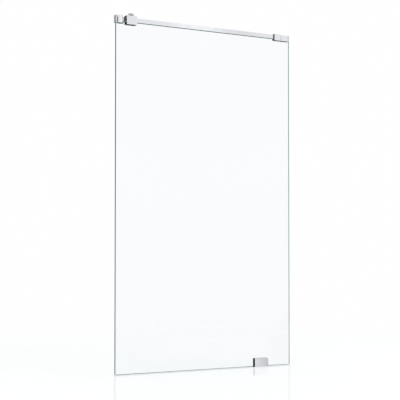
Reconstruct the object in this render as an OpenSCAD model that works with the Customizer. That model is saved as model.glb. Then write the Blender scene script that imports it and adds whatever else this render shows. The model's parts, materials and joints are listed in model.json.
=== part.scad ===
// Fixed shower glass panel with a top bar, a swivelling wall bracket, a bar lock, an end clamp
// and a floor clamp.
// The origin is on the floor, under the middle of the glass, half way through its thickness.
// +X runs along the glass away from the wall, +Y away from the side with the lock block, and +Z up.

/* [Glass] */
// Width of the glass
glass_w = 1100; // [800:10:1400]
// Height of the glass
glass_h = 1875; // [1500:5:2200]
// Thickness of the glass
glass_t = 10; // [6:1:10]
// Gap between the floor and the lower edge of the glass
floor_gap = 3; // [2:0.5:5]
// Bevel along the polished edges of the glass
glass_bevel = 0.7; // [0.3:0.1:1.2]
// Thickness of the dark gaskets between glass and metal
gasket_t = 1; // [0.6:0.1:1.5]

/* [Bar] */
// Height of the flat bar
bar_h = 24; // [20:1:32]
// Depth of the flat bar, front to back
bar_d = 12; // [10:0.5:14]
// Wall of the hollow bar
bar_wall = 1.5; // [1:0.1:2.5]
// Gap between the glass and the bar above it
bar_gap = 0.5; // [0.3:0.1:1]
// Distance that the bar slides out towards the wall
bar_travel = 10; // [2:1:12]

/* [Wall bracket] */
// Distance from the wall to the edge of the glass
wall_gap = 3; // [2:0.5:6]
// Thickness of the grey pad against the wall
wall_pad_t = 1; // [0.6:0.1:1.5]
// Thickness of the wall plate
wall_plate_t = 3.5; // [3:0.5:5]
// Depth of the wall plate, front to back
wall_plate_w = 27; // [24:1:32]
// Distance from the edge of the glass to the pivot pin
pivot_in = 24.3; // [22:0.1:30]
// Diameter of the round barrel
barrel_d = 35; // [32:1:40]
// Distance that the barrel reaches below the bar
barrel_drop = 11; // [9:0.5:16]
// Distance that the barrel reaches above the bar
barrel_rise = 6.2; // [5:0.1:9]
// Diameter of the pivot pin
pin_d = 6; // [5:0.5:7]
// Height of the tongue on the wall plate
tongue_h = 16; // [12:1:18]
// Thickness of the tongue's arm
tongue_t = 9; // [8:0.5:10]
// Swivel to each side, in degrees
swivel_deg = 20; // [5:1:25]
// Distance from each end of the wall plate to its screw hole
wall_screw_in = 5.6; // [5.2:0.1:6]
// Diameter of the wall screw holes
wall_hole_d = 4.5; // [4:0.5:5]

/* [Lock block] */
// Distance from the edge of the glass to the lock block
lock_in = 54.5; // [46:0.5:90]
// Length of the lock block
lock_l = 60; // [50:1:80]
// Distance that the lock block stands in front of the bar
lock_front = 21.4; // [20:0.2:26]
// Wall of the lock block behind the bar
lock_back = 2.8; // [2.5:0.1:6]
// Distance that the lock block reaches below the bar
lock_drop = 17.5; // [14:0.5:22]
// Distance that the lock block reaches above the bar
lock_rise = 6.1; // [5:0.1:10]
// Diameter of the lock knob
knob_d = 31; // [24:1:34]
// Height of the lock knob
knob_h = 10.8; // [8:0.2:14]
// Number of grip flutes round the lock knob
knob_flutes = 36; // [24:2:48]
// Diameter of the lock spindle in its bush
spindle_d = 8; // [7:0.5:9]
// Distance that the shoe moves in a quarter turn
shoe_travel = 1; // [0.6:0.1:1.2]

/* [End clamp] */
// Length of the inner part of the end clamp
inner_l = 43.5; // [38:0.5:60]
// Length of the outer part of the end clamp
outer_l = 45; // [38:0.5:60]
// Thickness of the spacer between the two parts
spacer_t = 1.5; // [1:0.1:2.5]
// Length of the grey end cap
cap_l = 11; // [8:0.5:16]
// Distance from the end cap to the free edge of the glass
cap_in = 4; // [2:0.5:10]
// Depth of the end clamp, front to back
clamp_d = 30; // [28:0.5:36]
// Distance that the end clamp reaches below the bar
clamp_drop = 9.5; // [9:0.5:16]
// Distance that the inner part reaches above the bar
clamp_rise = 4; // [3:0.5:8]

/* [Floor clamp] */
// Distance from the free edge of the glass to the middle of the floor clamp
foot_in = 194; // [80:1:300]
// Length of the floor clamp
foot_l = 92; // [86:1:110]
// Height of the floor clamp
foot_h = 48.5; // [44:0.5:60]
// Thickness of each jaw of the floor clamp
jaw_t = 7; // [6.5:0.5:9]
// Radius of the jaws' rounded end
jaw_end_r = 8; // [5:0.5:10]
// Distance between the two floor screws
floor_screw_pitch = 48; // [46:0.5:50]
// Diameter of the floor screw holes
floor_hole_d = 5; // [4:0.5:5.5]

/* [Hidden] */

$fn = 64;

// Fits and small common sizes
fit = 0.05;         // running clearance on a radius
slide_gap = 0.25;   // clearance round the sliding bar
snug = 0.1;         // clearance between flat parts
cut = 1;            // overshoot of a cutting shape
edge_r = 1;         // rounded edge of the metal blocks
thread_gap = 0.02;  // clearance of a screw in its thread

// Places along the glass
left = -glass_w / 2;
right = glass_w / 2;
glass_half = glass_t / 2;
glass_low = floor_gap;
glass_top = floor_gap + glass_h;
jaw_face = glass_half + gasket_t;

// Bar
bar_low = glass_top + bar_gap;
bar_top = bar_low + bar_h;
bar_mid = (bar_low + bar_top) / 2;
bar_half = bar_d / 2;
bar_corner_r = 1.2;
channel_half = bar_half + slide_gap;

// Wall bracket
wall_x = left - wall_gap;
plate_x = wall_x + wall_pad_t;
plate_corner_r = 2;
pad_inset = 0.5;
pivot_x = left + pivot_in;
barrel_r = barrel_d / 2;
barrel_low = bar_low - barrel_drop;
barrel_top = bar_top + barrel_rise;
barrel_mid = (barrel_low + barrel_top) / 2;
barrel_bevel = 1;
wall_screw_pitch = barrel_top - barrel_low - 2 * wall_screw_in;
tongue_r = 8;
washer_t = 1;
washer_hole_gap = 0.15;
pocket_gap = 0.6;
pocket_r = tongue_r + pocket_gap;
tongue_gap = 0.4;
pocket_spare_deg = 1;
pin_in = 1.5;
pin_roof = 3;
pocket_half_h = tongue_h / 2 + washer_t + 2 * snug;
pocket_deg = swivel_deg + pocket_spare_deg;
pin_low = barrel_low + pin_in;
pin_top = barrel_top - pin_roof;
wall_head_d = wall_hole_d * 2;
bar_start_in = 12;
bar_start_x = pivot_x + bar_start_in;
spigot_l = 28;
spigot_gap = 0.1;
corner_notch_gap = 0.5;
corner_notch_side = 1.5;
corner_notch_x = pivot_x + barrel_r + corner_notch_side;
corner_notch_z = barrel_low - corner_notch_gap;
notch_r = 4;
pin_screw_d = 4;
pin_screw_l = 9;
pin_screw_down = 3;
pin_screw_z = pin_top - pin_screw_down;
bar_screw_d = 4;
bar_screw_head_d = 7;
bar_screw_head_h = 1.4;
bar_screw_l = 6;
bar_screw_x = (corner_notch_x + left + lock_in) / 2;

// Lock block
lock_x = left + lock_in;
lock_end_x = lock_x + lock_l;
lock_mid_x = lock_x + lock_l / 2;
lock_front_y = -bar_half - lock_front;
lock_wall_y = max(channel_half, jaw_face);
lock_back_y = lock_wall_y + lock_back;
lock_low = bar_low - lock_drop;
lock_top = bar_top + lock_rise;
bush_r = 7.2;
bush_h = 9;
cam_r = 5;
cam_steps = 48;
cam_h = 14;
cam_floor_gap = 0.3;
cam_dwell_deg = 30;
cam_low = bar_mid - cam_h / 2;
cam_top = bar_mid + cam_h / 2;
journal_d = 6;
journal_l = 9;
knob_washer_t = 0.5;
knob_washer_d = 20;
knob_low = lock_top + knob_washer_t + snug;
knob_top = knob_low + knob_h;
knob_bevel = 0.8;
knob_mark_r = 1.2;
knob_mark_in = 3.6;
knob_roof = 2.6;
flute_depth = 0.5;
flute_share = 0.34;  // half the width of a flute, as a share of their pitch
flute_half = flute_share * PI * knob_d / knob_flutes;
flute_r = (flute_half * flute_half + flute_depth * flute_depth) / (2 * flute_depth);
shoe_w = 22;
shoe_h = 12;
shoe_t = 1.9;
pad_t = 1;
shoe_pad_y = -bar_half - fit - pad_t;
shoe_front_y = shoe_pad_y - shoe_t;
knob_y = shoe_front_y - snug - cam_r;
shoe_room_y = shoe_front_y - shoe_travel - 2 * snug;
knob_screw_d = 4;
knob_screw_l = 6;
knob_screw_up = 4.2;
knob_screw_z = knob_low + knob_screw_up;
grip_screw_d = 5;
lock_grip_up = 8;
lock_grip_z = lock_low + lock_grip_up;
lock_screw_spread = lock_l / 2;

// End clamp
cap_end_x = right - cap_in;
cap_x = cap_end_x - cap_l;
outer_x = cap_x - outer_l;
spacer_x = outer_x - spacer_t;
inner_x = spacer_x - inner_l;
clamp_half = clamp_d / 2;
clamp_low = bar_low - clamp_drop;
spacer_inset = 0.8;
plate_t = 1.5;
bar_grip_l = 22;    // length of bar that stays in the clamp when the bar is slid right out
bar_end_x = inner_x + bar_grip_l + bar_travel;
plug_rim_t = 2;
plug_l = 14;
tie_d = 4;
tie_head_d = 7;
tie_head_h = 4;
tie_y = (channel_half + clamp_half) / 2;
tie_bite = 22;
cap_peg_d = 4;
cap_peg_l = 6;
cap_peg_rise = 6;
cap_edge_r = 4;
clamp_grip_z = (clamp_low + glass_top) / 2;
gasket_in = 1;
grip_screw_in = 1;
cap_slot_gap = 0.3;

// Floor clamp
foot_x = right - foot_in;
foot_half = foot_l / 2;
jaw_back_y = jaw_face + jaw_t;
foot_base_in = 13;
foot_base_l = foot_l - 2 * foot_base_in;
foot_base_out = 3.5;
foot_base_d = 2 * (jaw_face + foot_base_out);
foot_base_h = 4;
foot_rib_l = 30;
foot_rib_h = 16;
foot_room = 0.4;
foot_notch_gap = 2;
foot_notch_l = foot_base_l + 2 * foot_notch_gap;
foot_notch_h = foot_rib_h + foot_notch_gap;
foot_screw_up = 6.5;
foot_screw_z = foot_base_h + foot_screw_up;
foot_screw_pitch = 18;
foot_screw_d = 6;
foot_screw_head_d = 10;
foot_screw_head_h = 3.5;
foot_head_cover = 0.5;
foot_head_y = jaw_back_y - foot_head_cover - foot_screw_head_h;
foot_bite = 4.5;
floor_head_d = floor_hole_d * 2;
floor_head_h = (floor_head_d - floor_hole_d) / 2;
setting_l = 8;
jaw_plan_r = 6;
jaw_low_r = 4;
setting_in = 6;
setting_x = foot_half - setting_in;
socket_share = 0.5;
socket_depth = 2;

// A rectangle from one corner to the other with round corners
module round_rect(low, high, r) {
    translate([low[0] + r, low[1]]) square([high[0] - low[0] - 2 * r, high[1] - low[1]]);
    translate([low[0], low[1] + r]) square([high[0] - low[0], high[1] - low[1] - 2 * r]);
    for (x = [low[0] + r, high[0] - r])
        for (y = [low[1] + r, high[1] - r])
            translate([x, y]) circle(r = r);
}

// A block from its low corner to its high corner
module block(low, high) {
    translate(low) cube(high - low);
}

// A block with every edge rounded by r
module soft_block(low, high, r) {
    intersection() {
        translate([0, 0, low[2]])
            linear_extrude(high[2] - low[2])
                round_rect([low[0], low[1]], [high[0], high[1]], r);
        translate([0, high[1], 0])
            rotate([90, 0, 0])
                linear_extrude(high[1] - low[1])
                    round_rect([low[0], low[2]], [high[0], high[2]], r);
        translate([low[0], 0, 0])
            rotate([90, 0, 90])
                linear_extrude(high[0] - low[0])
                    round_rect([low[1], low[2]], [high[1], high[2]], r);
    }
}

// A cylinder that starts at a point and runs along +X, +Y or -Y
module along_x(at, d, l) {
    translate(at) rotate([0, 90, 0]) cylinder(d = d, h = l);
}

module along_y(at, d, l) {
    translate(at) rotate([-90, 0, 0]) cylinder(d = d, h = l);
}

// The hexagonal socket in a screw's end, sunk along -Y from a point
module socket_back(at, d) {
    translate(at)
        rotate([90, 0, 0])
            cylinder(d = d * socket_share / cos(30), h = socket_depth, $fn = 6);
}

// A headless screw along +Y with its socket at the far end
module grub_screw(at, d, l) {
    difference() {
        along_y(at, d, l);
        socket_back(at + [0, l + cut, 0], d);
    }
}

// A countersunk hole along +X whose wide mouth is at the far face
module sunk_hole_x(at, d, head_d, depth) {
    head_h = (head_d - d) / 2;
    along_x(at - [cut, 0, 0], d, depth + 2 * cut);
    translate(at + [depth - head_h, 0, 0])
        rotate([0, 90, 0])
            cylinder(d1 = d, d2 = head_d, h = head_h);
    along_x(at + [depth, 0, 0], head_d, cut);
}

// The outline of the glass seen from the front, with its corner notch and its foot notch
module glass_outline() {
    difference() {
        translate([left, glass_low]) square([glass_w, glass_h]);
        round_rect(
            [left - notch_r - cut, corner_notch_z],
            [corner_notch_x, glass_top + notch_r + cut],
            notch_r
        );
        round_rect(
            [foot_x - foot_notch_l / 2, glass_low - notch_r - cut],
            [foot_x + foot_notch_l / 2, glass_low + foot_notch_h],
            notch_r
        );
    }
}

// A cross-section of the glass from one edge to the other, with its four corners bevelled
module bevelled_section(low, high) {
    b = glass_bevel;
    polygon([
        [low + b, -glass_half],
        [high - b, -glass_half],
        [high, -glass_half + b],
        [high, glass_half - b],
        [high - b, glass_half],
        [low + b, glass_half],
        [low, glass_half - b],
        [low, -glass_half + b],
    ]);
}

module glass_panel() {
    color("azure", 0.4)
        intersection() {
            translate([0, glass_half, 0])
                rotate([90, 0, 0])
                    linear_extrude(glass_t)
                        glass_outline();
            translate([0, 0, glass_low])
                linear_extrude(glass_h)
                    bevelled_section(left, right);
            translate([right, 0, 0])
                rotate([0, -90, 0])
                    linear_extrude(glass_w)
                        bevelled_section(glass_low, glass_top);
        }
}

// Wall bracket
module wall_rect(inset) {
    round_rect(
        [-wall_plate_w / 2 + inset, barrel_low + inset],
        [wall_plate_w / 2 - inset, barrel_top - inset],
        plate_corner_r
    );
}

module wall_gasket() {
    color("darkgray")
        difference() {
            translate([wall_x, 0, 0]) rotate([90, 0, 90]) linear_extrude(wall_pad_t) wall_rect(pad_inset);
            for (s = [-1, 1])
                along_x(
                    [wall_x - cut, 0, barrel_mid + s * wall_screw_pitch / 2],
                    wall_hole_d, wall_pad_t + 2 * cut
                );
        }
}

module wall_plate() {
    color("silver")
        difference() {
            union() {
                translate([plate_x, 0, 0]) rotate([90, 0, 90]) linear_extrude(wall_plate_t) wall_rect(0);
                translate([pivot_x, 0, barrel_mid - tongue_h / 2]) cylinder(r = tongue_r, h = tongue_h);
                block(
                    [plate_x + wall_plate_t / 2, -tongue_t / 2, barrel_mid - tongue_h / 2],
                    [pivot_x, tongue_t / 2, barrel_mid + tongue_h / 2]
                );
            }
            translate([pivot_x, 0, barrel_mid - tongue_h / 2 - cut])
                cylinder(d = pin_d + 2 * fit, h = tongue_h + 2 * cut);
            for (s = [-1, 1])
                sunk_hole_x(
                    [plate_x, 0, barrel_mid + s * wall_screw_pitch / 2],
                    wall_hole_d, wall_head_d, wall_plate_t
                );
        }
}

module swivel_washers() {
    for (s = [-1, 1])
        color("white")
            translate([pivot_x, 0, barrel_mid + s * (tongue_h / 2 + snug + washer_t / 2) - washer_t / 2])
                difference() {
                    cylinder(r = tongue_r, h = washer_t);
                    translate([0, 0, -cut])
                        cylinder(d = pin_d + 2 * washer_hole_gap, h = washer_t + 2 * cut);
                }
}

module swivel_pin() {
    color("gray") translate([pivot_x, 0, pin_low]) cylinder(d = pin_d, h = pin_top - pin_low);
}

// The barrel's outside: an upright cylinder with bevelled rims
module barrel() {
    translate([pivot_x, 0, barrel_low])
        rotate_extrude()
            polygon([
                [0, 0],
                [barrel_r - barrel_bevel, 0],
                [barrel_r, barrel_bevel],
                [barrel_r, barrel_top - barrel_low - barrel_bevel],
                [barrel_r - barrel_bevel, barrel_top - barrel_low],
                [0, barrel_top - barrel_low],
            ]);
}

// The room in the barrel for the tongue, which opens towards the wall
module tongue_room() {
    half_w = (tongue_t / 2 + tongue_gap) / cos(pocket_deg);
    reach = barrel_d;
    translate([pivot_x, 0, barrel_mid - pocket_half_h])
        linear_extrude(2 * pocket_half_h) {
            circle(r = pocket_r);
            polygon([
                [0, half_w],
                [0, -half_w],
                [-reach, -half_w - reach * tan(pocket_deg)],
                [-reach, half_w + reach * tan(pocket_deg)],
            ]);
        }
}

module knuckle() {
    inner_half = bar_half - bar_wall - spigot_gap;
    color("gainsboro")
        difference() {
            union() {
                difference() {
                    barrel();
                    block(
                        [bar_start_x, -bar_half - snug, bar_low - snug],
                        [pivot_x + barrel_d, bar_half + snug, bar_top + snug]
                    );
                }
                block(
                    [bar_start_x - cut, -inner_half, bar_low + bar_wall + spigot_gap],
                    [bar_start_x + spigot_l, inner_half, bar_top - bar_wall - spigot_gap]
                );
            }
            tongue_room();
            translate([pivot_x, 0, barrel_low - cut])
                cylinder(d = pin_d + 2 * thread_gap, h = pin_top - barrel_low + cut);
            along_y([pivot_x, 0, pin_screw_z], pin_screw_d + 2 * thread_gap, barrel_r + cut);
            along_y(
                [bar_screw_x, bar_half - bar_screw_l, bar_mid],
                bar_screw_d + 2 * thread_gap, bar_screw_l
            );
        }
}

module pin_grub_screw() {
    color("gray") grub_screw([pivot_x, pin_d / 2 + fit, pin_screw_z], pin_screw_d, pin_screw_l);
}

// Bar
module bar_section() {
    round_rect([-bar_half, bar_low], [bar_half, bar_top], bar_corner_r);
}

module support_bar() {
    color("gainsboro")
        difference() {
            translate([bar_start_x, 0, 0])
                rotate([90, 0, 90])
                    linear_extrude(bar_end_x - bar_start_x)
                        difference() {
                            bar_section();
                            translate([-bar_half + bar_wall, bar_low + bar_wall])
                                square([bar_d - 2 * bar_wall, bar_h - 2 * bar_wall]);
                        }
            along_y([bar_screw_x, 0, bar_mid], bar_screw_d + 2 * fit, bar_d);
            translate([bar_screw_x, bar_half - bar_screw_head_h, bar_mid])
                rotate([-90, 0, 0])
                    cylinder(
                        d1 = bar_screw_d + 2 * fit,
                        d2 = bar_screw_head_d + 2 * fit,
                        h = bar_screw_head_h
                    );
        }
}

module bar_fixing_screw() {
    color("gray")
        difference() {
            union() {
                along_y(
                    [bar_screw_x, bar_half - bar_screw_l + fit, bar_mid],
                    bar_screw_d, bar_screw_l - fit
                );
                translate([bar_screw_x, bar_half - bar_screw_head_h, bar_mid])
                    rotate([-90, 0, 0])
                        cylinder(d1 = bar_screw_d, d2 = bar_screw_head_d, h = bar_screw_head_h);
            }
            socket_back([bar_screw_x, bar_half + cut, bar_mid], bar_screw_d);
        }
}

module bar_end_plug() {
    inner_half = bar_half - bar_wall - spigot_gap;
    color("dimgray") {
        block(
            [bar_end_x - plug_l, -inner_half, bar_low + bar_wall + spigot_gap],
            [bar_end_x + snug, inner_half, bar_top - bar_wall - spigot_gap]
        );
        translate([bar_end_x, 0, 0]) rotate([90, 0, 90]) linear_extrude(plug_rim_t) bar_section();
    }
}

// Lock block
module lock_block() {
    color("gainsboro")
        difference() {
            soft_block([lock_x, lock_front_y, lock_low], [lock_end_x, lock_back_y, lock_top], edge_r);
            // channel of the bar
            block(
                [lock_x - cut, -channel_half, bar_low - slide_gap],
                [lock_end_x + cut, channel_half, bar_top + slide_gap]
            );
            // slot of the glass and its gaskets
            block([lock_x - cut, -jaw_face, lock_low - cut], [lock_end_x + cut, jaw_face, bar_low]);
            // bore of the cam and the bush, and the blind bore of the lower journal
            translate([lock_mid_x, knob_y, cam_low - cam_floor_gap])
                cylinder(r = bush_r, h = lock_top - cam_low + cut);
            translate([lock_mid_x, knob_y, cam_low - journal_l])
                cylinder(d = journal_d + 2 * fit, h = journal_l);
            // room of the shoe
            block(
                [lock_mid_x - shoe_w / 2 - snug, shoe_room_y, bar_mid - shoe_h / 2 - snug],
                [lock_mid_x + shoe_w / 2 + snug, 0, bar_mid + shoe_h / 2 + snug]
            );
            for (s = [-1, 1])
                along_y(
                    [lock_mid_x + s * lock_screw_spread / 2, 0, lock_grip_z],
                    grip_screw_d + 2 * thread_gap, lock_back_y + cut
                );
        }
}

// The cam's outline: its radius grows evenly over the quarter turn that the shoe follows, then
// stays, then falls
function cam_radius(a) =
    a < 90 ? cam_r - shoe_travel * (90 - a) / 90
    : a < 90 + cam_dwell_deg ? cam_r
    : cam_r - shoe_travel * (a - 90 - cam_dwell_deg) / (270 - cam_dwell_deg);

module lock_spindle() {
    color("gray")
        translate([lock_mid_x, knob_y, 0]) {
            translate([0, 0, cam_low - journal_l + snug]) cylinder(d = journal_d, h = journal_l);
            translate([0, 0, cam_low])
                linear_extrude(cam_h)
                    polygon([
                        for (i = [0:cam_steps - 1])
                            let (a = i * 360 / cam_steps)
                            cam_radius(a) * [cos(a), sin(a)]
                    ]);
            translate([0, 0, cam_top - cut])
                cylinder(d = spindle_d, h = knob_top - knob_roof - snug - cam_top + cut);
        }
}

module lock_bush() {
    color("goldenrod")
        translate([lock_mid_x, knob_y, lock_top - bush_h])
            difference() {
                cylinder(r = bush_r - thread_gap, h = bush_h);
                translate([0, 0, -cut]) cylinder(d = spindle_d + 2 * fit, h = bush_h + 2 * cut);
            }
}

module knob_washer() {
    color("white")
        translate([lock_mid_x, knob_y, lock_top])
            difference() {
                cylinder(d = knob_washer_d, h = knob_washer_t);
                translate([0, 0, -cut])
                    cylinder(d = spindle_d + 2 * washer_hole_gap, h = knob_washer_t + 2 * cut);
            }
}

module lock_knob() {
    r = knob_d / 2;
    color("gainsboro")
        difference() {
            translate([lock_mid_x, knob_y, knob_low])
                rotate_extrude()
                    polygon([
                        [0, 0],
                        [r - knob_bevel, 0],
                        [r, knob_bevel],
                        [r, knob_h - knob_bevel],
                        [r - knob_bevel, knob_h],
                        [0, knob_h],
                    ]);
            translate([lock_mid_x, knob_y, knob_low - cut])
                cylinder(d = spindle_d + 2 * thread_gap, h = knob_h - knob_roof + cut);
            along_y([lock_mid_x, knob_y, knob_screw_z], knob_screw_d + 2 * thread_gap, r + cut);
            translate([lock_mid_x, knob_y - r + knob_mark_in, knob_top - knob_mark_r / 2])
                cylinder(r = knob_mark_r, h = knob_mark_r);
            // grip flutes
            for (i = [0:knob_flutes - 1])
                translate([lock_mid_x, knob_y, knob_low - cut])
                    rotate([0, 0, i * 360 / knob_flutes])
                        translate([r + flute_r - flute_depth, 0, 0])
                            cylinder(r = flute_r, h = knob_h + 2 * cut);
        }
}

module knob_grub_screw() {
    color("gray")
        grub_screw([lock_mid_x, knob_y + spindle_d / 2 + fit, knob_screw_z], knob_screw_d, knob_screw_l);
}

module lock_shoe() {
    color("silver")
        block(
            [lock_mid_x - shoe_w / 2, shoe_front_y, bar_mid - shoe_h / 2],
            [lock_mid_x + shoe_w / 2, shoe_pad_y, bar_mid + shoe_h / 2]
        );
}

module shoe_pad() {
    color("dimgray")
        block(
            [lock_mid_x - shoe_w / 2, shoe_pad_y, bar_mid - shoe_h / 2],
            [lock_mid_x + shoe_w / 2, shoe_pad_y + pad_t, bar_mid + shoe_h / 2]
        );
}

// A pair of gaskets on both faces of the glass, from one x to another and from one z to another
module gasket_pair(x0, x1, z0, z1) {
    block([x0, -jaw_face, z0], [x1, -glass_half, z1]);
    block([x0, glass_half, z0], [x1, jaw_face, z1]);
}

module lock_gaskets() {
    color("dimgray")
        gasket_pair(
            lock_x + gasket_in, lock_end_x - gasket_in,
            lock_low + gasket_in, glass_top - gasket_in
        );
}

module lock_grub_screws() {
    for (s = [-1, 1])
        color("gray")
            grub_screw(
                [lock_mid_x + s * lock_screw_spread / 2, jaw_face, lock_grip_z],
                grip_screw_d, lock_back_y - jaw_face
            );
}

// End clamp
module clamp_slot(x0, x1) {
    block([x0 - cut, -jaw_face, clamp_low - cut], [x1 + cut, jaw_face, glass_top + snug]);
    block([x0 - cut, jaw_face - snug, clamp_low - cut], [x1 + cut, jaw_face + plate_t, glass_top + snug]);
}

module tie_holes(x0, l, d) {
    for (s = [-1, 1])
        along_x([x0, s * tie_y, bar_mid], d, l);
}

module clamp_screw_holes(mid_x, spread) {
    for (s = [-1, 1])
        along_y([mid_x + s * spread, jaw_face, clamp_grip_z], grip_screw_d + 2 * thread_gap, clamp_half);
}

module end_clamp_inner() {
    color("gainsboro")
        difference() {
            soft_block(
                [inner_x, -clamp_half, clamp_low],
                [spacer_x, clamp_half, bar_top + clamp_rise],
                edge_r
            );
            block(
                [inner_x - cut, -channel_half, glass_top],
                [spacer_x + cut, channel_half, bar_top + slide_gap]
            );
            clamp_slot(inner_x, spacer_x);
            tie_holes(spacer_x - tie_bite, tie_bite + cut, tie_d + 2 * thread_gap);
            clamp_screw_holes(inner_x + inner_l / 2, inner_l / 4);
        }
}

module end_clamp_outer() {
    color("gainsboro")
        difference() {
            soft_block([outer_x, -clamp_half, clamp_low], [cap_x, clamp_half, bar_top], edge_r);
            clamp_slot(outer_x, cap_x);
            tie_holes(outer_x - cut, outer_l + 2 * cut, tie_d + 2 * fit);
            tie_holes(cap_x - tie_head_h, tie_head_h + cut, tie_head_d + 2 * fit);
            for (s = [-1, 1])
                along_x(
                    [cap_x - cap_peg_l, 0, bar_mid + s * cap_peg_rise],
                    cap_peg_d + 2 * fit, cap_peg_l + cut
                );
            clamp_screw_holes(outer_x + outer_l / 2, outer_l / 4);
        }
}

module end_spacer() {
    color("dimgray")
        difference() {
            block(
                [spacer_x, -clamp_half + spacer_inset, clamp_low + spacer_inset],
                [outer_x, clamp_half - spacer_inset, bar_top - spacer_inset]
            );
            block(
                [spacer_x - cut, -jaw_face, clamp_low],
                [outer_x + cut, jaw_face + plate_t, glass_top + snug]
            );
            tie_holes(spacer_x - cut, spacer_t + 2 * cut, tie_d + 2 * fit);
        }
}

module end_cap() {
    color("darkgray") {
        difference() {
            translate([0, 0, clamp_low])
                linear_extrude(bar_top - clamp_low) {
                    round_rect([cap_x, -clamp_half], [cap_end_x, clamp_half], cap_edge_r);
                    translate([cap_x, -clamp_half]) square([cap_edge_r, clamp_d]);
                }
            block(
                [cap_x - cut, -glass_half - cap_slot_gap, clamp_low - cut],
                [cap_end_x + cut, glass_half + cap_slot_gap, glass_top + snug]
            );
        }
        for (s = [-1, 1])
            along_x([cap_x - cap_peg_l + snug, 0, bar_mid + s * cap_peg_rise], cap_peg_d, cap_peg_l);
    }
}

module end_tie_screws() {
    for (s = [-1, 1])
        color("gray")
            difference() {
                union() {
                    along_x(
                        [spacer_x - tie_bite + cut, s * tie_y, bar_mid],
                        tie_d, cap_x - tie_head_h - spacer_x + tie_bite
                    );
                    along_x([cap_x - tie_head_h, s * tie_y, bar_mid], tie_head_d, tie_head_h - snug);
                }
                translate([cap_x - socket_depth, s * tie_y, bar_mid])
                    rotate([0, 90, 0])
                        cylinder(d = tie_head_d * socket_share / cos(30), h = socket_depth + cut, $fn = 6);
            }
}

module end_gaskets() {
    for (span = [[inner_x, spacer_x], [outer_x, cap_x]])
        color("dimgray")
            gasket_pair(
                span[0] + gasket_in, span[1] - gasket_in,
                clamp_low + gasket_in / 2, glass_top - gasket_in
            );
}

module end_pressure_plates() {
    for (span = [[inner_x, spacer_x], [outer_x, cap_x]])
        color("silver")
            block(
                [span[0] + gasket_in, jaw_face, clamp_low + gasket_in / 2],
                [span[1] - gasket_in, jaw_face + plate_t - snug, glass_top - gasket_in]
            );
}

module end_grub_screws() {
    for (place = [[inner_x, inner_l], [outer_x, outer_l]])
        for (s = [-1, 1])
            color("gray")
                grub_screw(
                    [place[0] + place[1] / 2 + s * place[1] / 4, jaw_face + plate_t - snug, clamp_grip_z],
                    grip_screw_d, clamp_half - jaw_face - plate_t - grip_screw_in
                );
}

// Floor clamp
module floor_plate() {
    color("silver")
        difference() {
            union() {
                block(
                    [foot_x - foot_base_l / 2, -foot_base_d / 2, 0],
                    [foot_x + foot_base_l / 2, foot_base_d / 2, foot_base_h]
                );
                block(
                    [foot_x - foot_rib_l / 2, -glass_half + snug, foot_base_h / 2],
                    [foot_x + foot_rib_l / 2, glass_half - snug, foot_rib_h]
                );
            }
            for (s = [-1, 1]) {
                translate([foot_x + s * floor_screw_pitch / 2, 0, -cut])
                    cylinder(d = floor_hole_d, h = foot_base_h + 2 * cut);
                translate([foot_x + s * floor_screw_pitch / 2, 0, foot_base_h - floor_head_h])
                    cylinder(d1 = floor_hole_d, d2 = floor_head_d, h = floor_head_h);
                translate([foot_x + s * floor_screw_pitch / 2, 0, foot_base_h])
                    cylinder(d = floor_head_d, h = cut);
                along_y(
                    [foot_x + s * foot_screw_pitch / 2, -glass_t, foot_screw_z],
                    foot_screw_d + 2 * fit, 2 * glass_t
                );
            }
        }
}

// The jaw from the front: square at its left end, rounded at its right end, most at the top
module jaw_front_view() {
    translate([foot_x - foot_half, 0]) square([foot_half, foot_h]);
    intersection() {
        round_rect([foot_x - foot_half, -foot_h], [foot_x + foot_half, foot_h], jaw_end_r);
        round_rect([foot_x - foot_half, 0], [foot_x + foot_half, 2 * foot_h], jaw_low_r);
    }
}

// A jaw of the floor clamp, from its inner face outwards along -Y, with a round end and rounded
// outer corners
module jaw() {
    difference() {
        intersection() {
            translate([0, -jaw_face, 0])
                rotate([90, 0, 0])
                    linear_extrude(jaw_t)
                        jaw_front_view();
            linear_extrude(foot_h)
                union() {
                    round_rect(
                        [foot_x - foot_half, -jaw_back_y],
                        [foot_x + foot_half, jaw_end_r],
                        jaw_plan_r
                    );
                    translate([foot_x - foot_half, -jaw_back_y]) square([foot_l / 2, jaw_back_y]);
                }
        }
        block(
            [foot_x - foot_base_l / 2 - foot_room, -foot_base_d / 2 - foot_room, -cut],
            [foot_x + foot_base_l / 2 + foot_room, 0, foot_base_h + foot_room]
        );
    }
}

module floor_clamp_front() {
    color("gainsboro")
        difference() {
            jaw();
            for (s = [-1, 1])
                along_y(
                    [foot_x + s * foot_screw_pitch / 2, -jaw_face - foot_bite, foot_screw_z],
                    foot_screw_d + 2 * thread_gap, foot_bite + cut
                );
        }
}

module floor_clamp_back() {
    color("gainsboro")
        difference() {
            mirror([0, 1, 0]) jaw();
            for (s = [-1, 1]) {
                screw_x = foot_x + s * foot_screw_pitch / 2;
                along_y([screw_x, 0, foot_screw_z], foot_screw_d + 2 * fit, jaw_back_y + cut);
                along_y(
                    [screw_x, foot_head_y, foot_screw_z],
                    foot_screw_head_d + 2 * snug, foot_screw_head_h + cut
                );
            }
        }
}

module floor_clamp_screws() {
    for (s = [-1, 1]) {
        screw_x = foot_x + s * foot_screw_pitch / 2;
        color("gray")
            difference() {
                union() {
                    along_y(
                        [screw_x, -jaw_face - foot_bite + snug, foot_screw_z],
                        foot_screw_d, foot_head_y + jaw_face + foot_bite
                    );
                    along_y([screw_x, foot_head_y, foot_screw_z], foot_screw_head_d, foot_screw_head_h);
                }
                socket_back([screw_x, foot_head_y + foot_screw_head_h + snug, foot_screw_z], foot_screw_head_d);
            }
    }
}

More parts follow.
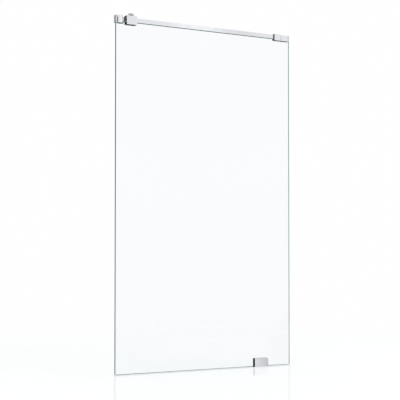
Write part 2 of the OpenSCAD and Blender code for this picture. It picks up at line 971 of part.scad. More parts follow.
module floor_gaskets() {
    color("dimgray")
        gasket_pair(
            foot_x - foot_half + gasket_in, foot_x + foot_half - jaw_end_r / 2,
            glass_low + foot_notch_h + gasket_in, foot_h - gasket_in
        );
}

module setting_blocks() {
    for (s = [-1, 1])
        color("dimgray")
            block(
                [foot_x + s * setting_x - setting_l / 2, -glass_half, 0],
                [foot_x + s * setting_x + setting_l / 2, glass_half, glass_low]
            );
}

glass_panel();
wall_gasket();
wall_plate();
swivel_washers();
swivel_pin();
knuckle();
pin_grub_screw();
support_bar();
bar_fixing_screw();
bar_end_plug();
lock_block();
lock_knob();
lock_spindle();
knob_grub_screw();
knob_washer();
lock_bush();
lock_shoe();
shoe_pad();
lock_gaskets();
lock_grub_screws();
end_clamp_inner();
end_clamp_outer();
end_spacer();
end_cap();
end_tie_screws();
end_gaskets();
end_pressure_plates();
end_grub_screws();
floor_plate();
floor_clamp_front();
floor_clamp_back();
floor_gaskets();
floor_clamp_screws();
setting_blocks();
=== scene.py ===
"""The looks of a fixed shower glass panel: clear glass, polished metal fittings and a pale studio."""

import json
import math

import bpy
import numpy as np
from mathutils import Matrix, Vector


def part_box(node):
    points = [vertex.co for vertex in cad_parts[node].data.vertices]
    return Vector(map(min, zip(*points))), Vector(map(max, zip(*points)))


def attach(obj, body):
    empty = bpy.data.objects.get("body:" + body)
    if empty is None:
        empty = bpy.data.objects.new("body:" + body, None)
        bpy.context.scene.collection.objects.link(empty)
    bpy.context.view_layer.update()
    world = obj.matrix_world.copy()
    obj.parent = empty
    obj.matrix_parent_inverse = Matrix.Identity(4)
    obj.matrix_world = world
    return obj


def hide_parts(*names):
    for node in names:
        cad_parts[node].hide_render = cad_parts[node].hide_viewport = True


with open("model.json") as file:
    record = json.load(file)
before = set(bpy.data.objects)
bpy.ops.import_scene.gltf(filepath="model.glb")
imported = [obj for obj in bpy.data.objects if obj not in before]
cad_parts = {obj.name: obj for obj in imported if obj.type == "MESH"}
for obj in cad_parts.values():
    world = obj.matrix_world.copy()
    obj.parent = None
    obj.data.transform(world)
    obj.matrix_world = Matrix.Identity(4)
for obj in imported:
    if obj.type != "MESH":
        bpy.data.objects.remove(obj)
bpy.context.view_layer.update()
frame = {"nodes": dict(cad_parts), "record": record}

# The camera, where the photographer stood: metres in the panel's own frame, angles in degrees
CAMERA_PLACE = (-2.8149, -5.033, 0.6539)
CAMERA_HEADING = 28.891
CAMERA_TILT = 1.608
CAMERA_LENS = 93.80
CAMERA_SENSOR = 36.0
CAMERA_SHIFT = 0.055
CAMERA_NEAR = 0.05
CAMERA_FAR = 120.0

# The lamps, all turned to one target: name, place, width of the disc, watts and colour
LAMP_TARGET = (0.0, 0.0, 0.9)
LAMPS = (
    ("key_lamp", (5.5, -7.5, 7.65), 6.5, 400.0, (1.0, 0.99, 0.97)),
    ("fill_lamp", (-8.0, -4.0, 5.15), 5.5, 180.0, (0.97, 0.985, 1.0)),
    ("back_lamp", (2.0, 9.0, 8.0), 6.5, 240.0, (1.0, 0.995, 0.985)),
)

# The light round the panel: white for the eye, tones for polished metal, one plain tone for bounced light
WHITE = (1.0, 1.0, 1.0, 1.0)
PAPER_WHITE = 0.995
STUDIO_TINT = (0.953, 0.964, 1.0)
PLAIN_TONE = 0.72
PLAIN_TINT = (0.97, 0.985, 1.0)

# A ray's Glossy Depth counts its mirror images in whole numbers, and each of these is half a step below one
MIRRORED_ONCE = 0.5
MIRRORED_TWICE = 1.5

# Directions in the studio are a heading, 0 in front of the panel and 90 at its free edge, and a rise
# above level. A spread is a pair of cosines, of the angle to a direction, between which one tone turns
# into another.
UP = (0.0, 0.0, 1.0)
BRIGHT_SIDE = (36.0, 21.0)
BRIGHT_SPREAD = (-0.75, 0.1)
FRONT_TONE = 1.1
BACK_TONE = 0.5
CEILING_SPREAD = (0.45, 0.9)
CEILING_TONE = 0.72
HORIZON_FOOT = (-0.01, 0.02)
HORIZON_TOP = (0.165, 0.195)
HORIZON_TONE = 1.06

# Round dim patches of the studio: heading, rise, outer and inner angle, and the share of light left inside
FLOOR_CLAMP_TOP_SEES = (147.8, 6.3, 5.0, 2.5, 0.3)
LEFT_FACES_SEE = (-151.0, 3.0, 20.0, 14.0, 0.015)
UNDERSIDES_SEE = (151.0, -12.5, 10.0, 7.0, 0.03)
TOP_FITTINGS_SEE = (29.0, 12.3, 9.0, 5.0, 0.81)
BAR_RIGHT_OF_MIDDLE_SEES = (31.1, 12.3, 1.3, 0.5, 0.88)
FLOOR_CLAMP_FRONT_SEES = (30.0, -8.0, 14.0, 8.0, 0.81)
FLOOR_CLAMP_RIGHT_PART_SEES = (38.4, -7.0, 6.45, 5.5, 0.5)
FLOOR_CLAMP_END_SEES = (60.0, -25.0, 30.0, 22.0, 0.55)
LOW_FRONT_LEFT = (-45.0, -18.0, 42.0, 24.0, 0.81)
FRONT_LEFT = (-15.0, 4.0, 44.0, 28.0, 0.87)
DIM_PATCHES = (
    LEFT_FACES_SEE,
    UNDERSIDES_SEE,
    TOP_FITTINGS_SEE,
    BAR_RIGHT_OF_MIDDLE_SEES,
    FLOOR_CLAMP_FRONT_SEES,
    FLOOR_CLAMP_RIGHT_PART_SEES,
    LOW_FRONT_LEFT,
    FRONT_LEFT,
    FLOOR_CLAMP_END_SEES,
)

# A small bright patch: heading, rise, outer and inner angle, the tone added outside it and inside it
BAR_MIDDLE_SEES = (28.8, 12.3, 1.7, 0.6, 0.0, 0.15)

# Metal seen in metal is dim in this patch, where the fittings hide the room from each other
METAL_IN_METAL = (-29.0, 12.0, 28.0, 14.0)
SECOND_BOUNCE_SHARE = 0.1

# The floor
FLOOR_CENTRE = (0.0, -0.3)
FLOOR_RADIUS = 4.6
FLOOR_FADE_FROM = 1.0
FLOOR_SIDES = 96
FLOOR_ALBEDO = 0.92
FLOOR_GLOW = 0.04
FLOOR_SHINE = 0.22

# The glass: its ground edge, its corners and its two notches, in metres
GLASS_ARRIS = 0.0016
GLASS_CORNER = 0.0025
NOTCH_CORNER = 0.004
NOTCH_WIDTH = 0.0433
NOTCH_GAP = 0.0005
FOOT_NOTCH_GAP = 0.002
FOOT_NOTCH_HEIGHT = 0.018
ARC_STEPS = 6
LONGEST_MITRE = 5.0

# Finishes: each surface varies between two tints, from red, green and blue, and between two roughnesses
GLASS_BENDING = 1.5
GLASS_TINTS = (0.965, 0.972, 0.982), (0.958, 0.968, 0.977)
GLASS_ROUGHNESS = 0.0, 0.003
GLASS_SHADOW_TINT = (0.96, 0.98, 0.975)
RIM_TINTS_OUTSIDE = (0.001, 0.105, 0.1), (0.003, 0.135, 0.128)
# Painted light: lighter tints for the rim where it is seen from inside the sheet
RIM_TINTS_INSIDE_PAINTED_LIGHT = (0.001, 0.2, 0.215), (0.003, 0.245, 0.26)
RIM_ROUGHNESS = 0.06, 0.2
# Painted shade: a darker tint for the foot of the rim seen from inside, up to this height in metres
RIM_FOOT_PAINTED_SHADE = (0.001, 0.055, 0.053)
RIM_PAINTED_SHADE_TOP = 0.006
CHROME_TINTS = (0.93, 0.93, 0.935), (0.89, 0.895, 0.9)
CHROME_ROUGHNESS = 0.05, 0.11
CHROME_BUMP = 0.005
KNOB_TINTS = (0.9, 0.9, 0.905), (0.84, 0.845, 0.85)
KNOB_ROUGHNESS = 0.06, 0.14
STEEL_TINTS = (0.5, 0.51, 0.53), (0.68, 0.69, 0.7)
STEEL_ROUGHNESS = 0.2, 0.36
STEEL_BUMP = 0.15
BUMP_DISTANCE = 0.0002

# The knob's flutes, which get painted shade, and how far under its top the unshaded top starts, in metres
FLUTE_DEPTH = 0.00045
FLUTE_SHALLOW = 0.00005
FLUTE_PAINTED_SHADE = (0.2, 0.2, 0.205)
KNOB_TOP_FROM = 0.0006
KNOB_TOP_TO = 0.0003

# Patterns: how much finer the second smudge noise is, what part of a noise is spread from 0 to 1, how far a
# noise is drawn out along each axis, and how many slow clouds a metre holds
FINE_SMUDGES = 3.1
SMUDGE_SPREAD = 0.14, 0.4
HAIR_STRETCH = (1.0, 1.0, 0.04)
HAIR_SPREAD = 0.62, 0.7
GRAIN_STRETCH = (0.01, 1.0, 1.0)
GRAIN_CLOUDS = 60.0
SKIN_CLOUDS = 45.0

# Moulded finishes: two tints, two roughnesses and the strength of the bump
MOULDED = {
    "grey_rubber": ((0.34, 0.34, 0.345), (0.42, 0.42, 0.425), 0.5, 0.65, 0.2),
    "dark_rubber": ((0.012, 0.012, 0.013), (0.025, 0.025, 0.027), 0.5, 0.7, 0.3),
    "grey_plastic": ((0.56, 0.54, 0.51), (0.63, 0.61, 0.58), 0.3, 0.42, 0.12),
    "dark_plastic": ((0.018, 0.018, 0.02), (0.032, 0.032, 0.034), 0.35, 0.5, 0.2),
    "white_plastic": ((0.72, 0.72, 0.7), (0.8, 0.8, 0.78), 0.35, 0.5, 0.12),
}


# Nodes


def add(tree, kind, inputs=None, **settings):
    """A node with its properties and its inputs set. An input takes a value or another node's output."""
    node = tree.nodes.new(kind)
    for key, value in settings.items():
        setattr(node, key, value)
    for key, value in (inputs or {}).items():
        if isinstance(value, bpy.types.NodeSocket):
            tree.links.new(value, node.inputs[key])
        else:
            node.inputs[key].default_value = value
    return node


def combine(tree, operation, first, second):
    """The sum, product, larger value or comparison of two values, each an output or a number."""
    return add(tree, "ShaderNodeMath", {0: first, 1: second}, operation=operation).outputs[0]


def product(tree, value, *others):
    """The product of two or more values."""
    for other in others:
        value = combine(tree, "MULTIPLY", value, other)
    return value


def spread(tree, value, start, end, low=0.0, high=1.0, curve="LINEAR"):
    """A value that goes from low to high while another goes from start to end, and is level beyond."""
    limits = {"Value": value, "From Min": start, "From Max": end, "To Min": low, "To Max": high}
    return add(tree, "ShaderNodeMapRange", limits, interpolation_type=curve).outputs["Result"]


def rgba(colour):
    """A colour with full alpha. Another node's output stays as it is."""
    return (*colour, 1.0) if isinstance(colour, tuple) else colour


def blend(tree, share, first, second):
    """A colour between two, the second where the share is 1. Each is a colour or an output."""
    colours = {"Factor": share, "A": rgba(first), "B": rgba(second)}
    return add(tree, "ShaderNodeMix", colours, data_type="RGBA").outputs["Result"]


def mix_shaders(tree, share, first, second):
    """A shader between two, the second where the share is 1."""
    return add(tree, "ShaderNodeMixShader", {"Fac": share, 1: first, 2: second}).outputs["Shader"]


def noise(tree, vector, scale, detail, roughness=0.5):
    """Smooth noise, mostly near 0.5."""
    values = {"Vector": vector, "Scale": scale, "Detail": detail, "Roughness": roughness}
    return add(tree, "ShaderNodeTexNoise", values).outputs["Fac"]


def stretch(tree, vector, scale):
    """Coordinates multiplied along each axis: a pattern is drawn out where the scale is below 1."""
    return add(tree, "ShaderNodeVectorMath", {0: vector, 1: scale}, operation="MULTIPLY").outputs[0]


def own_place(tree):
    """The place of each point in the piece's own coordinates."""
    return add(tree, "ShaderNodeTexCoord").outputs["Object"]


def own_height(tree):
    """The height of each point in the piece's own coordinates, which is its height over the floor at
    rest."""
    return add(tree, "ShaderNodeSeparateXYZ", {"Vector": own_place(tree)}).outputs["Z"]


# Patterns that several finishes share


def new_group(name, sizes, outputs):
    """A shader node group that takes coordinates and named sizes, and gives named numbers."""
    tree = bpy.data.node_groups.new(name, "ShaderNodeTree")
    tree.interface.new_socket("Vector", in_out="INPUT", socket_type="NodeSocketVector")
    for label, size in sizes.items():
        socket = tree.interface.new_socket(label, in_out="INPUT", socket_type="NodeSocketFloat")
        socket.default_value = size
    for label in outputs:
        tree.interface.new_socket(label, in_out="OUTPUT", socket_type="NodeSocketFloat")
    return tree, tree.nodes.new("NodeGroupInput").outputs


def make_handling_marks():
    """Soft smudges where hands and cloths have been: a broad and a fine noise multiplied, spread from 0
    to 1. And a few hair lines: a noise drawn out along Z, of which only the highest values show."""
    sizes = {"Smudge size": 40.0, "Line size": 300.0}
    tree, given = new_group("Handling marks", sizes, ("Smudge", "Lines"))
    fine_size = product(tree, given["Smudge size"], FINE_SMUDGES)
    broad = noise(tree, given["Vector"], given["Smudge size"], 3.0, 0.55)
    fine = noise(tree, given["Vector"], fine_size, 2.0, 0.6)
    smudge = spread(tree, product(tree, broad, fine), *SMUDGE_SPREAD)
    hair = noise(tree, stretch(tree, given["Vector"], HAIR_STRETCH), given["Line size"], 1.0)
    lines = spread(tree, hair, *HAIR_SPREAD)
    add(tree, "NodeGroupOutput", {"Smudge": smudge, "Lines": lines})
    return tree


def make_brushed_grain():
    """Fine parallel lines left by a belt: a noise drawn out a hundred times along X, as a height from 0
    to 1. The tone is the height times a slow noise."""
    tree, given = new_group("Brushed grain", {"Grain size": 900.0}, ("Height", "Tone"))
    grain = noise(tree, stretch(tree, given["Vector"], GRAIN_STRETCH), given["Grain size"], 4.0, 0.7)
    cloud = noise(tree, given["Vector"], GRAIN_CLOUDS, 2.0)
    add(tree, "NodeGroupOutput", {"Height": grain, "Tone": product(tree, grain, cloud)})
    return tree


def make_moulded_skin():
    """The fine texture of a spark-eroded mould: the sum of small cells and a noise, as a height, with a
    slow change of tone."""
    tree, given = new_group("Moulded skin", {"Pip size": 2500.0}, ("Height", "Tone"))
    place = {"Vector": given["Vector"], "Scale": given["Pip size"]}
    cells = add(tree, "ShaderNodeTexVoronoi", place).outputs["Distance"]
    grit = noise(tree, given["Vector"], given["Pip size"], 3.0)
    cloud = noise(tree, given["Vector"], SKIN_CLOUDS, 3.0)
    add(tree, "NodeGroupOutput", {"Height": combine(tree, "ADD", cells, grit), "Tone": cloud})
    return tree


HANDLING = make_handling_marks()
GRAIN = make_brushed_grain()
SKIN = make_moulded_skin()


def pattern(tree, group, **sizes):
    """The outputs of a group placed in a material, on the piece's own coordinates and with its sizes."""
    values = {key.replace("_", " "): size for key, size in sizes.items()}
    return add(tree, "ShaderNodeGroup", {"Vector": own_place(tree), **values}, node_tree=group).outputs


# Materials


def new_material(name):
    """An empty node material and its node tree."""
    mat = bpy.data.materials.new(name)
    mat.use_nodes = True
    mat.node_tree.nodes.clear()
    return mat, mat.node_tree


def show(tree, shader):
    """Joins a shader to the material's output."""
    add(tree, "ShaderNodeOutputMaterial", {"Surface": shader})


def principled(tree, tint, rough, values):
    """A Principled shader with its colour, its roughness and other values."""
    inputs = {"Base Color": tint, "Roughness": rough, **values}
    return add(tree, "ShaderNodeBsdfPrincipled", inputs).outputs["BSDF"]


def bumped(tree, height, strength):
    """A normal tilted by a height."""
    values = {"Height": height, "Strength": strength, "Distance": BUMP_DISTANCE}
    return add(tree, "ShaderNodeBump", values).outputs["Normal"]


def see_through(tree, shader, tint):
    """Lets lamp light and bounced light pass straight through the glass, so that it throws hardly any
    shadow."""
    path = add(tree, "ShaderNodeLightPath").outputs
    passes = combine(tree, "MAXIMUM", path["Is Shadow Ray"], path["Is Diffuse Ray"])
    clear = add(tree, "ShaderNodeBsdfTransparent", {"Color": rgba(tint)}).outputs["BSDF"]
    return mix_shaders(tree, passes, shader, clear)


def clear_glass():
    """Float glass: nearly colourless, with the faintest smudges in its tone."""
    mat, tree = new_material("clear_glass")
    smudge = pattern(tree, HANDLING, Smudge_size=6.0)["Smudge"]
    tint = blend(tree, smudge, *GLASS_TINTS)
    rough = spread(tree, smudge, 0.0, 1.0, *GLASS_ROUGHNESS)
    values = {"IOR": GLASS_BENDING, "Transmission Weight": 1.0, "Metallic": 0.0}
    show(tree, see_through(tree, principled(tree, tint, rough, values), GLASS_SHADOW_TINT))
    return mat


def glass_edge():
    """The ground and polished rim of the glass: dark blue-green from outside. Where it is seen through the
    sheet, from inside, it gets a lighter tint, painted light for the light that comes to it from inside.
    The bottom edge, which lamps light more from inside, gets a darker tint there, painted shade."""
    mat, tree = new_material("glass_edge")
    tone = pattern(tree, GRAIN, Grain_size=500.0)["Tone"]
    # Painted shade low on the rim and painted light on its inside, chosen by height and by the side that is
    # seen
    above_painted_foot_shade = spread(tree, own_height(tree), RIM_PAINTED_SHADE_TOP, 2 * RIM_PAINTED_SHADE_TOP)
    outside = blend(tree, tone, *RIM_TINTS_OUTSIDE)
    inside = blend(tree, above_painted_foot_shade, RIM_FOOT_PAINTED_SHADE, blend(tree, tone, *RIM_TINTS_INSIDE_PAINTED_LIGHT))
    backface = add(tree, "ShaderNodeNewGeometry").outputs["Backfacing"]
    tint = blend(tree, backface, outside, inside)
    rough = spread(tree, tone, 0.0, 1.0, *RIM_ROUGHNESS)
    show(tree, principled(tree, tint, rough, {"IOR": GLASS_BENDING, "Metallic": 0.0}))
    return mat


def chrome():
    """Polished plating: almost a mirror, a little duller where it has been wiped."""
    mat, tree = new_material("chrome")
    marks = pattern(tree, HANDLING, Smudge_size=45.0, Line_size=2600.0)
    tint = blend(tree, marks["Smudge"], *CHROME_TINTS)
    rough = spread(tree, marks["Smudge"], 0.0, 1.0, *CHROME_ROUGHNESS)
    normal = bumped(tree, marks["Lines"], CHROME_BUMP)
    show(tree, principled(tree, tint, rough, {"Metallic": 1.0, "Normal": normal}))
    return mat


def unshaded_knob_parts(tree):
    """Where the knob has no painted shade: 1 on its lands, by the distance to its axis, and on its top, by
    the height."""
    low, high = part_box("lock_knob")
    middle = (low + high) / 2
    rim = (high.x - low.x) / 2
    to_axis = {"Vector": own_place(tree), "Location": (-middle.x, -middle.y, 0.0), "Scale": (1.0, 1.0, 0.0)}
    flat = add(tree, "ShaderNodeMapping", to_axis).outputs["Vector"]
    radius = add(tree, "ShaderNodeVectorMath", {0: flat}, operation="LENGTH").outputs["Value"]
    land = spread(tree, radius, rim - FLUTE_DEPTH, rim - FLUTE_SHALLOW, curve="SMOOTHSTEP")
    top = spread(tree, own_height(tree), high.z - KNOB_TOP_FROM, high.z - KNOB_TOP_TO, curve="SMOOTHSTEP")
    return combine(tree, "MAXIMUM", land, top)


def fluted_chrome():
    """The knob's plating: plain on the lands and on the top, and dark down in the flutes, which see mostly
    each other: painted shade."""
    mat, tree = new_material("fluted_chrome")
    smudge = pattern(tree, HANDLING, Smudge_size=90.0)["Smudge"]
    # The dark flute tint is painted shade in the knob's recesses
    tint = blend(tree, unshaded_knob_parts(tree), FLUTE_PAINTED_SHADE, blend(tree, smudge, *KNOB_TINTS))
    rough = spread(tree, smudge, 0.0, 1.0, *KNOB_ROUGHNESS)
    show(tree, principled(tree, tint, rough, {"Metallic": 1.0}))
    return mat


def brushed_steel():
    """Stainless steel with a fine brushed grain."""
    mat, tree = new_material("brushed_steel")
    grain = pattern(tree, GRAIN, Grain_size=1400.0)
    tint = blend(tree, grain["Tone"], *STEEL_TINTS)
    rough = spread(tree, grain["Tone"], 0.0, 1.0, *STEEL_ROUGHNESS)
    normal = bumped(tree, grain["Height"], STEEL_BUMP)
    show(tree, principled(tree, tint, rough, {"Metallic": 1.0, "Normal": normal}))
    return mat


def moulded(name, dark, light, smoothest, roughest, strength):
    """Moulded plastic or rubber with a fine skin and a slow change of tone."""
    mat, tree = new_material(name)
    skin = pattern(tree, SKIN)
    tint = blend(tree, skin["Tone"], dark, light)
    rough = spread(tree, skin["Tone"], 0.0, 1.0, smoothest, roughest)
    normal = bumped(tree, skin["Height"], strength)
    show(tree, principled(tree, tint, rough, {"Metallic": 0.0, "Normal": normal}))
    return mat


GLASS = clear_glass()
GLASS_EDGE = glass_edge()
FINISH = {"glass": GLASS, "chrome": chrome(), "steel": brushed_steel()}
FINISH.update({name: moulded(name, *values) for name, values in MOULDED.items()})
OWN_FINISH = {"lock_knob": fluted_chrome()}


def finish_cad_nodes():
    """Gives each CAD node its own finish where it has one, and otherwise that of its material slot."""
    slots = {entry["node"]: entry["material_slot"] for entry in frame["record"]["subparts"]}
    for name, obj in frame["nodes"].items():
        obj.data.materials.clear()
        obj.data.materials.append(OWN_FINISH.get(name, FINISH[slots[name]]))


# The glass sheet


def new_piece(name, points, faces, *materials):
    """A piece at the origin, from an array of points and a list of faces."""
    mesh = bpy.data.meshes.new(name)
    mesh.from_pydata(points.tolist(), [], faces)
    for material in materials:
        mesh.materials.append(material)
    obj = bpy.data.objects.new(name, mesh)
    bpy.context.scene.collection.objects.link(obj)
    return obj


def unit(vectors):
    """Vectors divided by their own lengths."""
    return vectors / np.linalg.norm(vectors, axis=1, keepdims=True)


def rounded_outline(corners):
    """Points round a closed outline. Each corner (x, z, radius) becomes an arc whose ends lie where the
    arc's circle touches the two sides: at radius / tan(half the corner's angle) from the corner. The
    arc's points turn evenly from its start to its end round its centre."""
    here, radius = corners[:, :2], corners[:, 2:]
    before = unit(np.roll(here, 1, 0) - here)
    after = unit(np.roll(here, -1, 0) - here)
    half = np.arccos(np.clip((before * after).sum(1, keepdims=True), -1.0, 1.0)) / 2
    centre = here + unit(before + after) * radius / np.sin(half)
    start = here + before * radius / np.tan(half) - centre
    end = here + after * radius / np.tan(half) - centre
    sweep = (math.pi - 2 * half)[:, None]
    share = np.linspace(0.0, 1.0, ARC_STEPS + 1)[:, None]
    turned = np.sin((1 - share) * sweep) * start[:, None] + np.sin(share * sweep) * end[:, None]
    return (centre[:, None] + turned / np.sin(sweep)).reshape(-1, 2)


def mitres(outline):
    """How each point of the outline moves inwards when its sides move inwards by 1: along the mean of the
    two sides' normals, by 1 / the cosine of the angle between that mean and a side's normal."""
    before = unit(outline - np.roll(outline, 1, 0))
    after = unit(np.roll(outline, -1, 0) - outline)
    normal_before = np.stack([-before[:, 1], before[:, 0]], 1)
    normal_after = np.stack([-after[:, 1], after[:, 0]], 1)
    mean = unit(normal_before + normal_after)
    cosine = (mean * normal_before).sum(1, keepdims=True)
    return mean / np.clip(cosine, 1 / LONGEST_MITRE, 1.0)


def glass_corners(low, high):
    """The sheet's corners as rows of x, z and radius, anticlockwise from the bottom left as seen from the
    front, with the notch for the floor clamp in the bottom edge and the notch for the wall bracket at the
    top left."""
    plate_low, plate_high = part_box("floor_plate")
    foot_left = plate_low.x - FOOT_NOTCH_GAP
    foot_right = plate_high.x + FOOT_NOTCH_GAP
    foot_top = low.z + FOOT_NOTCH_HEIGHT
    notch_right = low.x + NOTCH_WIDTH
    notch_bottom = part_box("knuckle")[0].z - NOTCH_GAP
    corners = [
        (low.x, low.z, GLASS_CORNER),
        (foot_left, low.z, GLASS_CORNER),
        (foot_left, foot_top, NOTCH_CORNER),
        (foot_right, foot_top, NOTCH_CORNER),
        (foot_right, low.z, GLASS_CORNER),
        (high.x, low.z, GLASS_CORNER),
        (high.x, high.z, GLASS_CORNER),
        (notch_right, high.z, GLASS_CORNER),
        (notch_right, notch_bottom, NOTCH_CORNER),
        (low.x, notch_bottom, GLASS_CORNER),
    ]
    return np.array(corners)


def glass_sheet():
    """The sheet as four rings of points, from front to back: the outline at each place in the thickness,
    drawn in by the arris at both faces. Quads join the rings, and a flat face closes the first and the
    last."""
    low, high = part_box("glass_panel")
    outline = rounded_outline(glass_corners(low, high))
    drawn_in = np.array([GLASS_ARRIS, 0.0, 0.0, GLASS_ARRIS])[:, None, None]
    places = np.array([low.y, low.y + GLASS_ARRIS, high.y - GLASS_ARRIS, high.y])[:, None]
    rings = outline + drawn_in * mitres(outline)
    depth = np.broadcast_to(places, rings.shape[:2])
    points = np.stack([rings[..., 0], depth, rings[..., 1]], -1).reshape(-1, 3)
    count = len(outline)
    here = np.arange(count)
    after = np.roll(here, -1)
    ring = np.arange(len(rings) - 1)[:, None] * count
    quads = np.stack([ring + here, ring + count + here, ring + count + after, ring + after], -1)
    last = (len(rings) - 1) * count
    faces = [here.tolist(), *quads.reshape(-1, 4).tolist(), (last + here[::-1]).tolist()]
    obj = new_piece("glass_sheet", points, faces, GLASS, GLASS_EDGE)
    is_rim = np.ones(len(faces), dtype=np.int32)
    is_rim[[0, -1]] = 0
    obj.data.polygons.foreach_set("material_index", is_rim)
    obj.data.update()
    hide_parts("glass_panel")
    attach(obj, "panel")


# The studio


def aim(heading, rise):
    """The direction at a heading and a rise: (sin h cos r, -cos h cos r, sin r)."""
    h = math.radians(heading)
    r = math.radians(rise)
    return math.sin(h) * math.cos(r), -math.cos(h) * math.cos(r), math.sin(r)


def facing(tree, direction, low, high, tone_low, tone_high):
    """A tone that turns smoothly from one value to another as the cosine of the angle between the view
    ray and a direction goes from low to high."""
    ray = add(tree, "ShaderNodeTexCoord").outputs["Generated"]
    both = {0: ray, 1: direction}
    cosine = add(tree, "ShaderNodeVectorMath", both, operation="DOT_PRODUCT").outputs["Value"]
    return spread(tree, cosine, low, high, tone_low, tone_high, curve="SMOOTHSTEP")


def patch(tree, heading, rise, outer, inner, tone_out, tone_in):
    """A round patch of the studio: one tone beyond the outer angle, another within the inner angle."""
    low = math.cos(math.radians(outer))
    high = math.cos(math.radians(inner))
    return facing(tree, aim(heading, rise), low, high, tone_out, tone_in)


def dim_patch(tree, heading, rise, outer, inner, share):
    """A patch that leaves a share of the light inside it and all of it outside."""
    return patch(tree, heading, rise, outer, inner, 1.0, share)


def studio_tone(tree, path):
    """What polished metal sees: a room that is bright in front and dimmer behind and overhead, with dim
    patches. Just over the horizon, what comes through the glass stays pale, for the floor's mirror image
    of the glass. Metal seen in metal is dim in one patch more."""
    room = facing(tree, aim(*BRIGHT_SIDE), *BRIGHT_SPREAD, BACK_TONE, FRONT_TONE)
    ceiling = facing(tree, UP, *CEILING_SPREAD, 1.0, CEILING_TONE)
    room = product(tree, room, ceiling, dim_patch(tree, *FLOOR_CLAMP_TOP_SEES))
    over_foot = facing(tree, UP, *HORIZON_FOOT, 0.0, HORIZON_TONE)
    under_top = facing(tree, UP, *HORIZON_TOP, 1.0, 0.0)
    horizon = product(tree, over_foot, under_top, path["Is Transmission Ray"])
    tone = combine(tree, "MAXIMUM", room, horizon)
    tone = product(tree, tone, *[dim_patch(tree, *values) for values in DIM_PATCHES])
    tone = combine(tree, "ADD", tone, patch(tree, *BAR_MIDDLE_SEES))
    again = combine(tree, "GREATER_THAN", path["Glossy Depth"], MIRRORED_TWICE)
    hidden = product(tree, again, patch(tree, *METAL_IN_METAL, 0.0, 1.0 - SECOND_BOUNCE_SHARE))
    return product(tree, tone, combine(tree, "SUBTRACT", 1.0, hidden))


def sees_white(tree, path):
    """1 for the camera's own rays, for rays that come through the glass without a mirror image on their
    way, and for the first mirror image in a sharp mirror. 0 for all others."""
    unmirrored = combine(tree, "LESS_THAN", path["Glossy Depth"], MIRRORED_ONCE)
    through = product(tree, path["Is Transmission Ray"], unmirrored)
    direct = combine(tree, "MAXIMUM", path["Is Camera Ray"], through)
    sharp = product(tree, path["Is Singular Ray"], path["Is Reflection Ray"])
    not_again = combine(tree, "LESS_THAN", path["Glossy Depth"], MIRRORED_TWICE)
    return combine(tree, "MAXIMUM", direct, product(tree, sharp, not_again))


def studio_world():
    """White to the camera, through glass and in the floor's sharp mirror image. Metal, which is never
    quite sharp, sees the studio's tones, and bounced light one plain soft tone."""
    world = bpy.data.worlds.new("studio")
    bpy.context.scene.world = world
    world.use_nodes = True
    tree = world.node_tree
    tree.nodes.clear()
    path = add(tree, "ShaderNodeLightPath").outputs
    looks = {
        "plain": (rgba(PLAIN_TINT), PLAIN_TONE),
        "studio": (rgba(STUDIO_TINT), studio_tone(tree, path)),
        "white": (WHITE, PAPER_WHITE),
    }
    light = {}
    for name, (colour, strength) in looks.items():
        light[name] = add(tree, "ShaderNodeBackground", {"Color": colour, "Strength": strength}).outputs[0]
    unseen = mix_shaders(tree, path["Is Glossy Ray"], light["plain"], light["studio"])
    surface = mix_shaders(tree, sees_white(tree, path), unseen, light["white"])
    add(tree, "ShaderNodeOutputWorld", {"Surface": surface})


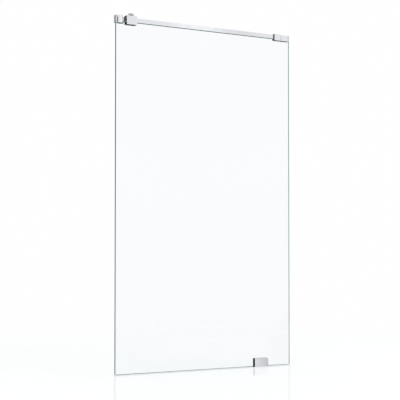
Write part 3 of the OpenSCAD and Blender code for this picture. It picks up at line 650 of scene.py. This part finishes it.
def floor_material():
    """Pale paper that fades into the white background towards its rim. To the eye it glows a little and
    mirrors what stands on it, faintly. A ray that was mirrored before goes through it to the studio."""
    mat, tree = new_material("studio_floor")
    path = add(tree, "ShaderNodeLightPath").outputs
    seen = combine(tree, "MAXIMUM", path["Is Camera Ray"], path["Is Transmission Ray"])
    albedo = (FLOOR_ALBEDO, FLOOR_ALBEDO, FLOOR_ALBEDO)
    paper = add(tree, "ShaderNodeBsdfDiffuse", {"Color": rgba(albedo)}).outputs[0]
    strength = product(tree, seen, FLOOR_GLOW)
    glow = add(tree, "ShaderNodeEmission", {"Color": WHITE, "Strength": strength}).outputs[0]
    lit = add(tree, "ShaderNodeAddShader", {0: paper, 1: glow}).outputs[0]
    mirror = add(tree, "ShaderNodeBsdfGlossy", {"Color": WHITE, "Roughness": 0.0}).outputs[0]
    polished = mix_shaders(tree, product(tree, seen, FLOOR_SHINE), lit, mirror)
    distance = add(tree, "ShaderNodeVectorMath", {0: own_place(tree)}, operation="LENGTH").outputs["Value"]
    fade = spread(tree, distance, FLOOR_FADE_FROM, FLOOR_RADIUS, curve="SMOOTHSTEP")
    mirrored = combine(tree, "GREATER_THAN", path["Glossy Depth"], MIRRORED_ONCE)
    clear = add(tree, "ShaderNodeBsdfTransparent").outputs[0]
    show(tree, mix_shaders(tree, combine(tree, "MAXIMUM", fade, mirrored), polished, clear))
    return mat


def studio_floor():
    """A round floor: a flat disc of points at equal steps round its centre."""
    turn = np.linspace(0.0, 2 * np.pi, FLOOR_SIDES, endpoint=False)
    rim = np.stack([FLOOR_RADIUS * np.cos(turn), FLOOR_RADIUS * np.sin(turn), np.zeros(FLOOR_SIDES)], 1)
    obj = new_piece("studio_floor", rim, [list(range(FLOOR_SIDES))], floor_material())
    obj.location = (*FLOOR_CENTRE, 0.0)
    obj.visible_glossy = False


def soft_lamp(name, place, size, watts, colour):
    """A large soft lamp, turned to the lamps' target, that lights the object and isn't seen in its
    reflections."""
    lamp = bpy.data.lights.new(name, "AREA")
    lamp.shape = "DISK"
    lamp.size = size
    lamp.energy = watts
    lamp.color = colour
    obj = bpy.data.objects.new(name, lamp)
    obj.location = place
    away = np.array(LAMP_TARGET) - np.array(place)
    flat = math.hypot(away[0], away[1])
    obj.rotation_euler = (math.atan2(flat, -away[2]), 0.0, math.atan2(-away[0], away[1]))
    obj.visible_camera = False
    obj.visible_glossy = False
    obj.visible_transmission = False
    bpy.context.scene.collection.objects.link(obj)


def place_camera():
    """The camera at the photograph's place."""
    data = bpy.data.cameras.new("camera")
    data.sensor_width = CAMERA_SENSOR
    data.lens = CAMERA_LENS
    data.shift_y = CAMERA_SHIFT
    data.clip_start = CAMERA_NEAR
    data.clip_end = CAMERA_FAR
    obj = bpy.data.objects.new("camera", data)
    obj.location = CAMERA_PLACE
    obj.rotation_euler = (math.radians(90 + CAMERA_TILT), 0.0, -math.radians(CAMERA_HEADING))
    bpy.context.scene.collection.objects.link(obj)
    bpy.context.scene.camera = obj


bpy.context.scene.view_settings.view_transform = "Standard"
place_camera()
studio_world()
studio_floor()
for lamp_values in LAMPS:
    soft_lamp(*lamp_values)
finish_cad_nodes()
glass_sheet()
